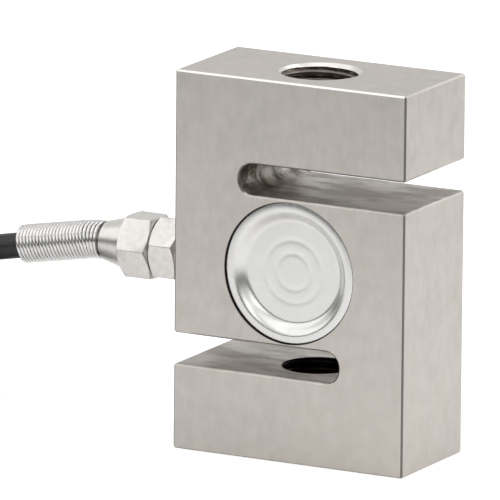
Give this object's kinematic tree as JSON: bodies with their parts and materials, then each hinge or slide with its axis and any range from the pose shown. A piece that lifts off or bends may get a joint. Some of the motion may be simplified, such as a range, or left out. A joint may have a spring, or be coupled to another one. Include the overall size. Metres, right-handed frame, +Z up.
{
  "type": "s-type load cell",
  "caption": "S-shaped steel beam with threaded ends, dished covers over its strain-gauge cavities and a side cable gland with a spring relief; its spare cable lies in a tied hank.",
  "frame": {"origin": "centre of the beam's lower loading face, which stands on the surface", "axes": "+Z up along the loading axis, +X across the beam's width away from the cable, -Y the front, where the cover nearer the terminal board is"},
  "size_m": [0.2473, 0.0486, 0.0762],
  "materials": {
    "beam_steel": "ground, fine straight grain",
    "cover_steel": "pressed sheet, bright satin",
    "gland_nickel": "nickel-plated brass, satin",
    "washer_nickel": "nickel-plated, satin",
    "spring_steel": "bright drawn wire",
    "seal_rubber": "moulded",
    "cable_jacket": "smooth, soft sheen",
    "tie_black": "moulded strap",
    "sleeve_black": "heat-shrunk",
    "core_red": "insulation",
    "core_black": "insulation",
    "core_green": "insulation",
    "core_white": "insulation",
    "tinned_strand": "tinned copper",
    "board_laminate": "glass-epoxy laminate",
    "pad_tin": "solder",
    "chip_black": "moulded",
    "gauge_film": "polyimide film"
  },
  "bodies": {
    "root": {"s_beam_body": "beam_steel", "front_cover": "cover_steel", "rear_cover": "cover_steel", "gland_body": "gland_nickel", "gland_washer": "washer_nickel", "gland_seal": "seal_rubber", "thrust_washer": "washer_nickel", "gland_nut": "gland_nickel", "strain_relief_spring": "spring_steel", "cable_hank": "cable_jacket", "cable_tube": "cable_jacket", "cable_tail": "cable_jacket", "front_tie": "tie_black", "rear_tie": "tie_black", "shrink_sleeve": "sleeve_black", "lead_red": "core_red", "lead_black": "core_black", "lead_green": "core_green", "lead_white": "core_white", "lead_tips": "tinned_strand", "drain_wire": "tinned_strand", "terminal_board": "board_laminate", "terminal_pads": "pad_tin", "trim_resistors": "chip_black", "core_red": "core_red", "core_black": "core_black", "core_green": "core_green", "core_white": "core_white", "front_gauge": "gauge_film", "rear_gauge": "gauge_film", "gauge_jumpers": "tinned_strand"}
  },
  "joints": []
}
